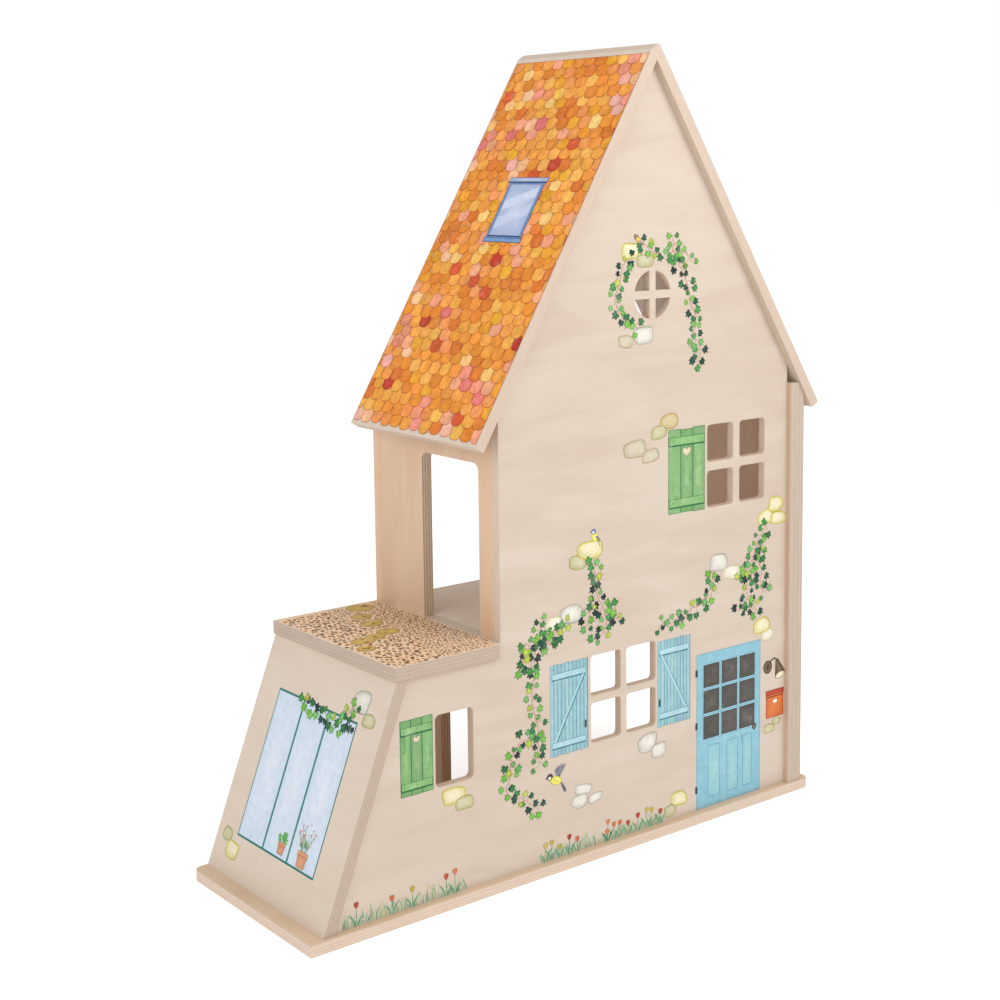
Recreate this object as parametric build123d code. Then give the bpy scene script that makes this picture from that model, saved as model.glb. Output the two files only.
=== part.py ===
"""A wooden dollhouse: ten plywood boards on one base, held by hidden dowels and by screws from below.

Millimetres. +Z is up, the front of the house faces -Y and the sunroom annex is on the -X side.
The boards are drawn from the main house's front left corner at floor level, then everything is
moved so that the origin is the middle of the footprint, on the ground.
"""

import os
from math import cos, radians, sin, tan

from build123d import *

# Boards
PLY = 10.0
BASE_THICKNESS = 10.0
FACADE_THICKNESS = 8.0
TERRACE_THICKNESS = 12.0
RIGHT_WALL_THICKNESS = 19.0
EDGE_ROUND = 0.8

# Main house
HOUSE_WIDTH = 347.0
ROOF_SPAN = 353.0
BACK = 190.0
EAVES_HEIGHT = 415.3
LEFT_PITCH = 59.3
RIGHT_PITCH = 58.0
RIGHT_WALL_TOP = 407.0
RIGHT_WALL_FRONT = -5.0

# Roof
ROOF_FRONT = -7.5
ROOF_BACK = 181.5
LEFT_EAVE_X = -20.4
RIGHT_EAVE_X = 374.5
ROOF_END_ROUND = 2.5

# Floors
FIRST_FLOOR_TOP = 216.0
ATTIC_FLOOR_TOP = 395.0

# Annex
ANNEX_FOOT_X = -180.0
ANNEX_HEAD_X = -106.6
SUNROOM_FRONT = -3.0
TERRACE_LEFT = -109.0
TERRACE_FRONT = -4.0
TERRACE_NOTCH = 4.0

# Base
BASE_LEFT = -194.0
BASE_RIGHT = 377.0
BASE_FRONT = -7.0
BASE_BACK = 191.0
BASE_CORNER = 8.0

# Windows: left edge, bottom edge, width, height
GROUND_WINDOW = (99.5, 105.5, 77.0, 79.5)
UPPER_WINDOW = (241.5, 299.0, 75.5, 77.5)
ANNEX_WINDOW = (-68.0, 105.5, 38.5, 61.5)
GROUND_BAR = 7.0
UPPER_BAR = 8.5
PANE_CORNER = 3.5
ANNEX_WINDOW_CORNER = 4.5
ROUND_WINDOW_X = 173.5
ROUND_WINDOW_Z = 500.5
ROUND_WINDOW_RADIUS = 21.5
ROUND_WINDOW_BAR = 7.5

# Doorways in the wall between the annex and the main house: front edge, back edge
TERRACE_DOORWAY = (28.5, 112.0)
TERRACE_DOORWAY_HEAD = 365.0
GROUND_DOORWAY = (28.5, 89.0)
GROUND_DOORWAY_HEAD = 160.0
DOORWAY_CORNER = 7.0

# Dowels and screws
DOWEL_RADIUS = 3.0
DOWEL_BLIND = 6.0
GLUE_GAP = 0.1
DOWEL_LONG = 15.0
FLOOR_DOWEL_YS = (40.0, 100.0, 160.0)
FACADE_DOWEL_XS = (60.0, 180.0, 300.0)
SLOPE_DOWEL_SHARES = (0.2, 0.5, 0.8)
SCREW_RADIUS = 1.8
SCREW_HEAD_RADIUS = 3.6
SCREW_HEAD_DEPTH = 2.4
SCREW_RECESS = 0.4
SCREW_LENGTH = 26.0
SCREW_SLOT = 0.9
FACADE_SCREW_XS = (-110.0, -20.0, 90.0, 200.0, 310.0)
LEFT_WALL_SCREW_YS = (110.0, 170.0)
RIGHT_WALL_SCREW_YS = (20.0, 95.0, 170.0)

MIDDLE_OF_FACADE = FACADE_THICKNESS / 2
FACADE_DOWEL_START = FACADE_THICKNESS - 5.0


def upright_board(outline, front, back):
    """A board whose outline is drawn as (x, z) points and which runs from front to back."""
    face = Plane.XZ * make_face(Polyline(*outline, close=True))
    return Pos(0, front, 0) * extrude(face, amount=back - front, dir=(0, 1, 0))


def block(x_range, y_range, z_range):
    """A plain block between three pairs of limits."""
    (x0, x1), (y0, y1), (z0, z1) = x_range, y_range, z_range
    centre = Pos((x0 + x1) / 2, (y0 + y1) / 2, (z0 + z1) / 2)
    return centre * Box(x1 - x0, y1 - y0, z1 - z0)


def left_inside(x):
    """Height of the left roof board's inside face."""
    return EAVES_HEIGHT + tan(radians(LEFT_PITCH)) * x


def right_inside(x):
    """Height of the right roof board's inside face."""
    return EAVES_HEIGHT + tan(radians(RIGHT_PITCH)) * (ROOF_SPAN - x)


def inside_apex():
    """Where the two inside faces of the roof meet."""
    left_rise = tan(radians(LEFT_PITCH))
    right_rise = tan(radians(RIGHT_PITCH))
    x = right_rise * ROOF_SPAN / (left_rise + right_rise)
    return x, left_inside(x)


def ridge_joint():
    """Where the left board's outside face meets the right board's inside face."""
    left_rise = tan(radians(LEFT_PITCH))
    right_rise = tan(radians(RIGHT_PITCH))
    x = (right_rise * ROOF_SPAN - PLY / cos(radians(LEFT_PITCH))) / (left_rise + right_rise)
    return x, right_inside(x)


def annex_slope():
    """Sideways lean of the sunroom panel for each millimetre of height."""
    return (ANNEX_HEAD_X - ANNEX_FOOT_X) / (terrace_underside() - BASE_THICKNESS)


def terrace_underside():
    return FIRST_FLOOR_TOP - TERRACE_THICKNESS


def annex_wall_thickness_along_x():
    lean = annex_slope()
    return PLY * (1 + lean * lean) ** 0.5


def rounded_cutter(x, z, width, height, corner):
    """A rounded bar that cuts one window opening right through the facade."""
    plan = RectangleRounded(width, height, corner)
    sketch = Plane.XZ * Pos(x + width / 2, z + height / 2) * plan
    return extrude(sketch, amount=2 * PLY, both=True)


def four_panes(window, bar):
    """The four openings of a casement window with one upright and one level bar."""
    x, z, width, height = window
    pane_width = (width - bar) / 2
    pane_height = (height - bar) / 2
    panes = []
    for column in range(2):
        for row in range(2):
            pane_x = x + column * (pane_width + bar)
            pane_z = z + row * (pane_height + bar)
            panes.append(rounded_cutter(pane_x, pane_z, pane_width, pane_height, PANE_CORNER))
    return panes


def round_panes():
    """The four quarter openings of the attic window."""
    beyond_the_rim = 3 * ROUND_WINDOW_RADIUS
    disc = Circle(ROUND_WINDOW_RADIUS)
    disc -= Rectangle(ROUND_WINDOW_BAR, beyond_the_rim)
    disc -= Rectangle(beyond_the_rim, ROUND_WINDOW_BAR)
    sketch = Plane.XZ * Pos(ROUND_WINDOW_X, ROUND_WINDOW_Z) * disc
    return extrude(sketch, amount=2 * PLY, both=True)


def distance_from_front_left(edge):
    return edge.center().X + edge.center().Y


def make_base():
    """Its corners are rounded, all but the front left one."""
    board = block((BASE_LEFT, BASE_RIGHT), (BASE_FRONT, BASE_BACK), (0, BASE_THICKNESS))
    corners = board.edges().filter_by(Axis.Z).sort_by(distance_from_front_left)
    board = fillet(corners[1:], BASE_CORNER)
    rims = board.faces().sort_by(Axis.Z)
    return fillet(rims[0].edges() + rims[-1].edges(), EDGE_ROUND)


def make_facade():
    """Gable front and annex front in one sheet, with every window cut through it."""
    lean = annex_slope()
    foot = ANNEX_FOOT_X + annex_wall_thickness_along_x()
    head = foot + lean * (terrace_underside() - BASE_THICKNESS)
    outline = [
        (foot, BASE_THICKNESS),
        (HOUSE_WIDTH, BASE_THICKNESS),
        (HOUSE_WIDTH, right_inside(HOUSE_WIDTH)),
        inside_apex(),
        (0, left_inside(0)),
        (0, FIRST_FLOOR_TOP),
        (-TERRACE_NOTCH, FIRST_FLOOR_TOP),
        (-TERRACE_NOTCH, terrace_underside()),
        (head, terrace_underside()),
    ]
    board = upright_board(outline, 0, FACADE_THICKNESS)
    for cutter in four_panes(GROUND_WINDOW, GROUND_BAR) + four_panes(UPPER_WINDOW, UPPER_BAR):
        board -= cutter
    board -= rounded_cutter(*ANNEX_WINDOW, ANNEX_WINDOW_CORNER)
    board -= round_panes()
    front = board.faces().sort_by(Axis.Y)[0]
    rims = [edge for wire in front.inner_wires() for edge in wire.edges()]
    return fillet(rims, EDGE_ROUND)


def doorway_cutter(doorway, floor, head):
    """A doorway with rounded top corners, cut sideways through the left wall."""
    front, back = doorway
    bar = block((-PLY, 2 * PLY), (front, back), (floor, head))
    top_edges = bar.edges().filter_by(Axis.X).group_by(Axis.Z)[-1]
    return fillet(top_edges, DOORWAY_CORNER)


def make_left_wall():
    outline = [
        (0, BASE_THICKNESS),
        (PLY, BASE_THICKNESS),
        (PLY, left_inside(PLY)),
        (0, left_inside(0)),
    ]
    board = upright_board(outline, FACADE_THICKNESS, BACK)
    board -= doorway_cutter(TERRACE_DOORWAY, FIRST_FLOOR_TOP, TERRACE_DOORWAY_HEAD)
    board -= doorway_cutter(GROUND_DOORWAY, BASE_THICKNESS, GROUND_DOORWAY_HEAD)
    return board


def make_right_wall():
    """Stands outside the facade's end; its top is flat, then follows the roof."""
    outer = HOUSE_WIDTH + RIGHT_WALL_THICKNESS
    meets_roof = ROOF_SPAN - (RIGHT_WALL_TOP - EAVES_HEIGHT) / tan(radians(RIGHT_PITCH))
    outline = [
        (HOUSE_WIDTH, BASE_THICKNESS),
        (outer, BASE_THICKNESS),
        (outer, right_inside(outer)),
        (meets_roof, RIGHT_WALL_TOP),
        (HOUSE_WIDTH, RIGHT_WALL_TOP),
    ]
    board = upright_board(outline, RIGHT_WALL_FRONT, BACK)
    front_edges = board.faces().sort_by(Axis.Y)[0].edges()
    return fillet(front_edges.sort_by(Axis.X)[-1], EDGE_ROUND)


def make_sunroom_panel():
    thick = annex_wall_thickness_along_x()
    outline = [
        (ANNEX_FOOT_X, BASE_THICKNESS),
        (ANNEX_FOOT_X + thick, BASE_THICKNESS),
        (ANNEX_HEAD_X + thick, terrace_underside()),
        (ANNEX_HEAD_X, terrace_underside()),
    ]
    return upright_board(outline, SUNROOM_FRONT, BACK)


def make_terrace():
    board = block((TERRACE_LEFT, 0), (TERRACE_FRONT, BACK), (terrace_underside(), FIRST_FLOOR_TOP))
    left_face = board.faces().sort_by(Axis.X)[0]
    front_edges = board.faces().sort_by(Axis.Y)[0].edges().filter_by(Axis.X)
    board = fillet(left_face.edges() + front_edges, EDGE_ROUND)
    notch = block((-TERRACE_NOTCH, PLY), (2 * TERRACE_FRONT, FACADE_THICKNESS), (0, 2 * FIRST_FLOOR_TOP))
    return board - notch


def make_left_roof():
    lean = radians(LEFT_PITCH)
    eave_inside = (LEFT_EAVE_X, left_inside(LEFT_EAVE_X))
    eave_outside = (eave_inside[0] - PLY * sin(lean), eave_inside[1] + PLY * cos(lean))
    outline = [eave_outside, eave_inside, inside_apex(), ridge_joint()]
    board = upright_board(outline, ROOF_FRONT, ROOF_BACK)
    eave_edges = board.edges().filter_by(Axis.Y).sort_by(Axis.X)[0]
    return fillet(eave_edges, EDGE_ROUND)


def make_right_roof():
    """Laps over the left board's top end, so its own top end shows along the ridge."""
    lean = radians(RIGHT_PITCH)
    shift = (PLY * sin(lean), PLY * cos(lean))
    eave_inside = (RIGHT_EAVE_X, right_inside(RIGHT_EAVE_X))
    eave_outside = (eave_inside[0] + shift[0], eave_inside[1] + shift[1])
    joint = ridge_joint()
    ridge_outside = (joint[0] + shift[0], joint[1] + shift[1])
    board = upright_board([joint, ridge_outside, eave_outside, eave_inside], ROOF_FRONT, ROOF_BACK)
    along = board.edges().filter_by(Axis.Y)
    ends = along.sort_by(Axis.Z)
    return fillet([ends[-1], ends[0], ends[1]], ROOF_END_ROUND)


def make_floor(top, back):
    return block((PLY, HOUSE_WIDTH), (FACADE_THICKNESS, back), (top - PLY, top))


def dowel(start, end, radius=DOWEL_RADIUS):
    """A plain round dowel between two points."""
    start, end = Vector(start), Vector(end)
    axis = end - start
    place = Plane(origin=start, z_dir=axis)
    return place * Cylinder(radius, axis.length, align=(Align.CENTER, Align.CENTER, Align.MIN))


def dowel_hole(pin):
    """The hole for one dowel: as long as the dowel, and wider by the film of glue round it."""
    ends = [face.center() for face in pin.faces().filter_by(GeomType.PLANE)]
    return dowel(ends[0], ends[1], DOWEL_RADIUS + GLUE_GAP)


def make_terrace_dowels():
    """Each runs through the left wall, from the terrace board into the first floor."""
    z = FIRST_FLOOR_TOP - (PLY + TERRACE_THICKNESS) / 4
    return [dowel((-DOWEL_LONG, y, z), (PLY + DOWEL_LONG, y, z)) for y in FLOOR_DOWEL_YS]


def make_floor_dowels():
    """Blind dowels between the floors and the two side walls."""
    dowels = []
    attic_z = ATTIC_FLOOR_TOP - PLY / 2
    first_z = FIRST_FLOOR_TOP - PLY / 2
    for y in FLOOR_DOWEL_YS:
        for z in (first_z, attic_z):
            dowels.append(dowel((HOUSE_WIDTH - DOWEL_LONG, y, z), (HOUSE_WIDTH + DOWEL_BLIND, y, z)))
        dowels.append(dowel((PLY - DOWEL_BLIND, y, attic_z), (PLY + DOWEL_LONG, y, attic_z)))
    return dowels


def make_facade_dowels():
    """Blind dowels between the back of the facade and the front edges of the two floors."""
    dowels = []
    for x in FACADE_DOWEL_XS:
        for top in (FIRST_FLOOR_TOP, ATTIC_FLOOR_TOP):
            z = top - PLY / 2
            dowels.append(dowel((x, FACADE_DOWEL_START, z), (x, FACADE_THICKNESS + DOWEL_LONG, z)))
    return dowels


def slope_dowels(foot, head, outward):
    """Blind dowels from the facade's sloping edge out into the board that lies on it."""
    dowels = []
    for share in SLOPE_DOWEL_SHARES:
        x = foot[0] + share * (head[0] - foot[0])
        z = foot[1] + share * (head[1] - foot[1])
        inner = (x - DOWEL_LONG * outward[0], MIDDLE_OF_FACADE, z - DOWEL_LONG * outward[1])
        outer = (x + DOWEL_BLIND * outward[0], MIDDLE_OF_FACADE, z + DOWEL_BLIND * outward[1])
        dowels.append(dowel(inner, outer))
    return dowels


def make_roof_dowels():
    left = radians(LEFT_PITCH)
    right = radians(RIGHT_PITCH)
    apex = inside_apex()
    left_set = slope_dowels((0, left_inside(0)), apex, (-sin(left), cos(left)))
    right_foot = (HOUSE_WIDTH, right_inside(HOUSE_WIDTH))
    return left_set + slope_dowels(right_foot, apex, (sin(right), cos(right)))


def make_sunroom_dowels():
    thick = annex_wall_thickness_along_x()
    length = (1 + annex_slope() ** 2) ** 0.5
    outward = (-1 / length, annex_slope() / length)
    foot = (ANNEX_FOOT_X + thick, BASE_THICKNESS)
    head = (ANNEX_HEAD_X + thick, terrace_underside())
    return slope_dowels(foot, head, outward)


def screw_places():
    """Screws come up through the base into the facade and the two upright side walls."""
    left_middle = PLY / 2
    right_middle = HOUSE_WIDTH + RIGHT_WALL_THICKNESS / 2
    places = [(x, MIDDLE_OF_FACADE) for x in FACADE_SCREW_XS]
    places += [(left_middle, y) for y in LEFT_WALL_SCREW_YS]
    places += [(right_middle, y) for y in RIGHT_WALL_SCREW_YS]
    return places


def make_screw(x, y):
    """A countersunk wood screw, point up, with a single slot across its head."""
    low = SCREW_RECESS
    profile = Polyline(
        (0, low),
        (SCREW_HEAD_RADIUS, low),
        (SCREW_RADIUS, low + SCREW_HEAD_DEPTH),
        (SCREW_RADIUS, SCREW_LENGTH - 2 * SCREW_RADIUS),
        (0, SCREW_LENGTH),
        close=True,
    )
    shape = revolve(Plane.XZ * make_face(profile), axis=Axis.Z)
    slot = Pos(0, 0, low) * Box(3 * SCREW_HEAD_RADIUS, SCREW_SLOT, 2 * SCREW_SLOT)
    return Pos(x, y, 0) * (shape - slot)


def screw_hole(x, y):
    """The hole that one screw fills, open underneath down to the ground side of the base."""
    head = SCREW_HEAD_RADIUS + GLUE_GAP
    shank = SCREW_RADIUS + GLUE_GAP
    profile = Polyline(
        (0, 0),
        (head, 0),
        (head, SCREW_RECESS),
        (shank, SCREW_RECESS + SCREW_HEAD_DEPTH),
        (shank, SCREW_LENGTH - 2 * SCREW_RADIUS),
        (0, SCREW_LENGTH),
        close=True,
    )
    return Pos(x, y, 0) * revolve(Plane.XZ * make_face(profile), axis=Axis.Z)


def bore(boards, holes):
    """Cut every hole out of every board that it reaches."""
    for name in boards:
        for hole in holes:
            boards[name] -= hole


boards = {
    "base_board": make_base(),
    "facade_panel": make_facade(),
    "left_side_wall": make_left_wall(),
    "right_side_wall": make_right_wall(),
    "sunroom_panel": make_sunroom_panel(),
    "terrace_board": make_terrace(),
    "left_roof_board": make_left_roof(),
    "right_roof_board": make_right_roof(),
    "first_floor_board": make_floor(FIRST_FLOOR_TOP, BACK),
    "attic_floor_board": make_floor(ATTIC_FLOOR_TOP, ROOF_BACK),
}
fixings = {
    "terrace_dowels": make_terrace_dowels(),
    "floor_dowels": make_floor_dowels(),
    "facade_dowels": make_facade_dowels(),
    "roof_dowels": make_roof_dowels(),
    "sunroom_dowels": make_sunroom_dowels(),
}
for group in fixings.values():
    bore(boards, [dowel_hole(pin) for pin in group])
bore(boards, [screw_hole(x, y) for x, y in screw_places()])
fixings["base_screws"] = [make_screw(x, y) for x, y in screw_places()]

pieces = {name: [board] for name, board in boards.items()}
pieces.update(fixings)
boxes = [piece.bounding_box() for group in pieces.values() for piece in group]
middle_x = (min(box.min.X for box in boxes) + max(box.max.X for box in boxes)) / 2
middle_y = (min(box.min.Y for box in boxes) + max(box.max.Y for box in boxes)) / 2
to_origin = Pos(-middle_x, -middle_y, 0)

os.makedirs("parts", exist_ok=True)
for name, group in pieces.items():
    placed = [solid for piece in group for solid in (to_origin * piece).solids()]
    export_step(Compound(placed), f"parts/{name}.step")
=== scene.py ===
"""A plywood dollhouse: procedural plywood on the CAD boards, and thin printed artwork on their faces."""

import math
import random

import bpy
from mathutils import Euler, Matrix, Vector, noise


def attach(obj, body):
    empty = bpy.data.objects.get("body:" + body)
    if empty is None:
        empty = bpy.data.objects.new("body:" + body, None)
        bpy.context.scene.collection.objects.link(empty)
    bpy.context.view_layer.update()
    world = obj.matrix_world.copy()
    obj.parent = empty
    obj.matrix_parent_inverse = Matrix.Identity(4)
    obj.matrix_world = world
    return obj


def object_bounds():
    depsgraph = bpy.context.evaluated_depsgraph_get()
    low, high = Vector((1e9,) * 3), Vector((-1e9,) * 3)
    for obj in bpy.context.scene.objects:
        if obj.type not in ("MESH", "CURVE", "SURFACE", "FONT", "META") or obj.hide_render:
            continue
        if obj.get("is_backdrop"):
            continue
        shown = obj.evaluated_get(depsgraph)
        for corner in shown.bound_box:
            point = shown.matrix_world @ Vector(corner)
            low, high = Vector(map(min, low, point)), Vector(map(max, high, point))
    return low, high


MM = 0.001

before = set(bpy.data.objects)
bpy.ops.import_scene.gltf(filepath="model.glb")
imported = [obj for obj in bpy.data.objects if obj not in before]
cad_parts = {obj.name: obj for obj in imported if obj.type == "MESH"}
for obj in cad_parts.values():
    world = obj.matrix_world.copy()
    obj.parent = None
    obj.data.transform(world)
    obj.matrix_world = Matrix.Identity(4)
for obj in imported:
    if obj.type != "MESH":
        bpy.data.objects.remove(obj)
cad_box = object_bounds()


# ---- shader helpers

class Shader:
    """A new material and short spellings for the nodes that the materials share."""

    def __init__(self, name):
        self.material = bpy.data.materials.new(name)
        self.material.use_nodes = True
        self.tree = self.material.node_tree
        self.surface = self.tree.nodes["Principled BSDF"]
        self.place = self.node("ShaderNodeTexCoord").outputs["Object"]

    def node(self, kind, inputs=None, **settings):
        """A node with its settings and inputs; an input is a value or another node's output."""
        made = self.tree.nodes.new(kind)
        for key, value in settings.items():
            setattr(made, key, value)
        for key, value in (inputs or {}).items():
            if isinstance(value, bpy.types.NodeSocket):
                self.tree.links.new(value, made.inputs[key])
            else:
                made.inputs[key].default_value = value
        return made

    def math(self, operation, a, b=0.0):
        return self.node("ShaderNodeMath", {0: a, 1: b}, operation=operation).outputs[0]

    def along(self, direction):
        """Distance along a direction, in metres."""
        made = self.node("ShaderNodeVectorMath", {0: self.place, 1: direction}, operation="DOT_PRODUCT")
        return made.outputs["Value"]

    def noise(self, vector, scale, detail=3.0, rough=0.5, warp=0.0):
        inputs = {"Vector": vector, "Scale": scale, "Detail": detail, "Roughness": rough}
        inputs["Distortion"] = warp
        return self.node("ShaderNodeTexNoise", inputs).outputs["Fac"]

    def band(self, value, low, high, to_low=0.0, to_high=1.0):
        """Value from low to high, spread smoothly over to_low to to_high."""
        inputs = {"Value": value, "From Min": low, "From Max": high, "To Min": to_low, "To Max": to_high}
        return self.node("ShaderNodeMapRange", inputs, interpolation_type="SMOOTHSTEP").outputs["Result"]

    def mix(self, factor, a, b, blend="MIX"):
        """From a to b by factor; each is another node's output or a colour of three parts."""
        inputs = {0: factor}
        for slot, value in ((6, a), (7, b)):
            inputs[slot] = value if isinstance(value, bpy.types.NodeSocket) else (*value, 1.0)
        return self.node("ShaderNodeMix", inputs, data_type="RGBA", blend_type=blend).outputs[2]

    def finish(self, colour, roughness, height, depth, specular=0.35):
        """Connect colour and roughness, and a bump of that depth in metres."""
        self.tree.links.new(colour, self.surface.inputs["Base Color"])
        self.tree.links.new(roughness, self.surface.inputs["Roughness"])
        self.surface.inputs["Specular IOR Level"].default_value = specular
        bump = self.node("ShaderNodeBump", {"Height": height, "Distance": depth, "Strength": 1.0})
        self.tree.links.new(bump.outputs["Normal"], self.surface.inputs["Normal"])
        return self.material


def srgb(red, green, blue):
    """A colour given as 0 to 255 screen values, for a shader."""
    parts = []
    for part in (red, green, blue):
        part = part / 255
        parts.append(part / 12.92 if part <= 0.04045 else ((part + 0.055) / 1.055) ** 2.4)
    return (*parts, 1.0)


# ---- plywood

PLIES = 7

# A face is a pair of tones, the lighter one first. An edge is two such pairs: one for the plies that run
# along it and one for the plies that end there.
PALE_FACE = ((0.632, 0.53, 0.438), (0.6, 0.494, 0.398))
SAND_FACE = ((0.582, 0.488, 0.408), (0.528, 0.428, 0.342))
# LIGHT_FACE is painted light: the first floor's top is made lighter than the other boards so that it reads
# bright in the shade inside the house.
LIGHT_FACE = ((0.74, 0.62, 0.505), (0.7, 0.575, 0.455))
TAN_FACE = ((0.57, 0.415, 0.3), (0.51, 0.35, 0.238))
WARM_FACE = ((0.63, 0.47, 0.325), (0.58, 0.42, 0.28))
# On the left side wall's outer face PEACH_FACE is painted shade and bounce light: the same plywood, made
# more orange for the light that face gets.
PEACH_FACE = ((0.66, 0.47, 0.325), (0.59, 0.395, 0.255))
DULL_FACE = ((0.56, 0.455, 0.36), (0.52, 0.41, 0.315))
PALE_EDGE = (((0.57, 0.455, 0.368), (0.53, 0.418, 0.333)), ((0.48, 0.372, 0.292), (0.445, 0.338, 0.26)))
GREY_EDGE = (((0.47, 0.365, 0.29), (0.43, 0.33, 0.26)), ((0.35, 0.262, 0.2), (0.31, 0.228, 0.17)))
# DARK_EDGE is darker partly for the end grain of the plies and partly as painted shade on the sunroom
# panel's edge.
DARK_EDGE = (((0.48, 0.375, 0.3), (0.44, 0.34, 0.268)), ((0.38, 0.29, 0.222), (0.335, 0.25, 0.188)))
# On the facade WARM_EDGE's lighter tones are partly painted light on the window reveals, which lie in
# shade.
WARM_EDGE = (((0.64, 0.512, 0.412), (0.6, 0.472, 0.374)), ((0.505, 0.388, 0.3), (0.46, 0.345, 0.262)))
DULL_EDGE = (((0.49, 0.395, 0.318), (0.46, 0.365, 0.292)), ((0.415, 0.325, 0.258), (0.385, 0.3, 0.235)))
JAMB_EDGE = (((0.7, 0.61, 0.505), (0.62, 0.515, 0.405)), ((0.575, 0.445, 0.325), (0.48, 0.355, 0.245)))


def plywood(name, normal, low, thick, grain, front, back, edge_tones, contrast):
    """Birch plywood. normal points through the sheet from back to front, low is where it starts and
    grain runs along it. front and back are pairs of tones, edge_tones holds a pair for the plies that run
    along the edge and one for those that end there; contrast is how plainly the two kinds differ."""
    s = Shader(name)
    across = normal.cross(grain)
    along_grain = s.along(grain)
    along_width = s.along(across)
    depth = s.along(normal)

    def drawn_out(share):
        """The place with the grain direction shrunk to a share, so that a noise there comes out long."""
        inputs = {"X": s.math("MULTIPLY", along_grain, share), "Y": along_width, "Z": depth}
        return s.node("ShaderNodeCombineXYZ", inputs).outputs[0]

    stretched = drawn_out(0.07)
    wavy = drawn_out(0.2)
    fibre = s.noise(stretched, 520, 4, 0.62)
    figure = s.noise(wavy, 30, 4, 0.55, 0.7)
    cloud = s.noise(s.place, 6, 3, 0.5)
    rings = s.math("SINE", s.math("MULTIPLY", s.noise(wavy, 8, 2, 0.5, 0.3), 90))
    flecks = s.band(s.noise(stretched, 900, 2, 0.5), 0.66, 0.74)

    facing = s.node("ShaderNodeVectorMath", {
        0: s.node("ShaderNodeNewGeometry").outputs["Normal"], 1: normal}, operation="DOT_PRODUCT")
    toward_front = s.band(facing.outputs["Value"], -0.2, 0.2)
    light = s.mix(toward_front, back[0], front[0])
    deep = s.mix(toward_front, back[1], front[1])
    face = s.mix(s.band(figure, 0.32, 0.7), light, deep)
    stains = (
        (s.band(fibre, 0.42, 0.75), 0.11, (0.46, 0.34, 0.24)),
        (s.band(rings, 0.2, 1), 0.05, (0.5, 0.36, 0.24)),
        (flecks, 0.2, (0.42, 0.29, 0.19)),
        (s.band(cloud, 0.35, 0.7), 0.22, light),
    )
    for mask, amount, colour in stains:
        face = s.mix(s.math("MULTIPLY", mask, amount), face, colour)

    share = s.math("DIVIDE", s.math("SUBTRACT", depth, low), thick)
    layer = s.math("MULTIPLY", share, PLIES)
    odd = s.math("PINGPONG", s.math("ADD", layer, 0.5), 1)
    cross_ply = s.band(odd, 0.36, 0.64)
    glue = s.band(s.math("ABSOLUTE", s.math("SUBTRACT", odd, 0.5)), 0, 0.12, 1, 0)
    pores = s.noise(s.place, 620, 3, 0.6)
    long_tones, end_tones = edge_tones
    long_ply = s.mix(s.band(fibre, 0.35, 0.7), *long_tones)
    end_ply = s.mix(s.band(pores, 0.35, 0.65), *end_tones)
    edge = s.mix(s.math("MULTIPLY", cross_ply, contrast), long_ply, end_ply)
    edge = s.mix(s.math("MULTIPLY", glue, 0.35 * contrast), edge, (0.3, 0.2, 0.13))

    on_face = s.band(s.math("ABSOLUTE", facing.outputs["Value"]), 0.55, 0.8)
    colour = s.mix(on_face, edge, face)
    rough = s.band(s.math("ADD", fibre, s.math("MULTIPLY", pores, 0.3)), 0.3, 1, 0.46, 0.66)
    height = s.math("ADD", s.math("MULTIPLY", fibre, 0.6), s.math("MULTIPLY", pores, 0.4))
    return s.finish(colour, rough, height, 0.00005)


ACROSS = (1, 0, 0)
TOWARDS_US = (0, -1, 0)
AWAY = (0, 1, 0)
UPWARD = (0, 0, 1)


def paint_node(name, material):
    """Give a CAD node's every slot the material."""
    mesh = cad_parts[name].data
    if not mesh.materials:
        mesh.materials.append(material)
    for index in range(len(mesh.materials)):
        mesh.materials[index] = material


def sheet(name, normal, grain, thick=10, front=PALE_FACE, back=PEACH_FACE, edge=GREY_EDGE,
          contrast=0.4):
    """Plywood for a board. normal points to its front, and its plies start at its lowest point that way."""
    normal = Vector(normal).normalized()
    low = min(vertex.co.dot(normal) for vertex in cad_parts[name].data.vertices)
    grain = Vector(grain).normalized()
    made = plywood(name + "_plywood", normal, low, thick * MM, grain, front, back, edge, contrast)
    paint_node(name, made)


def slope(degrees, side=1):
    """Outward normal and up-slope direction of a board that leans by degrees from level, towards +X where
    side is 1 and towards -X where it is -1."""
    lean = math.radians(degrees)
    rise, run = math.sin(lean), math.cos(lean)
    return (-side * rise, 0, run), (side * run, 0, rise)


LEFT_OUT, LEFT_UP = slope(59.3)
RIGHT_OUT, RIGHT_UP = slope(58, -1)
PANEL_OUT, PANEL_UP = slope(math.degrees(math.atan2(194, 73.4)))


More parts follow.
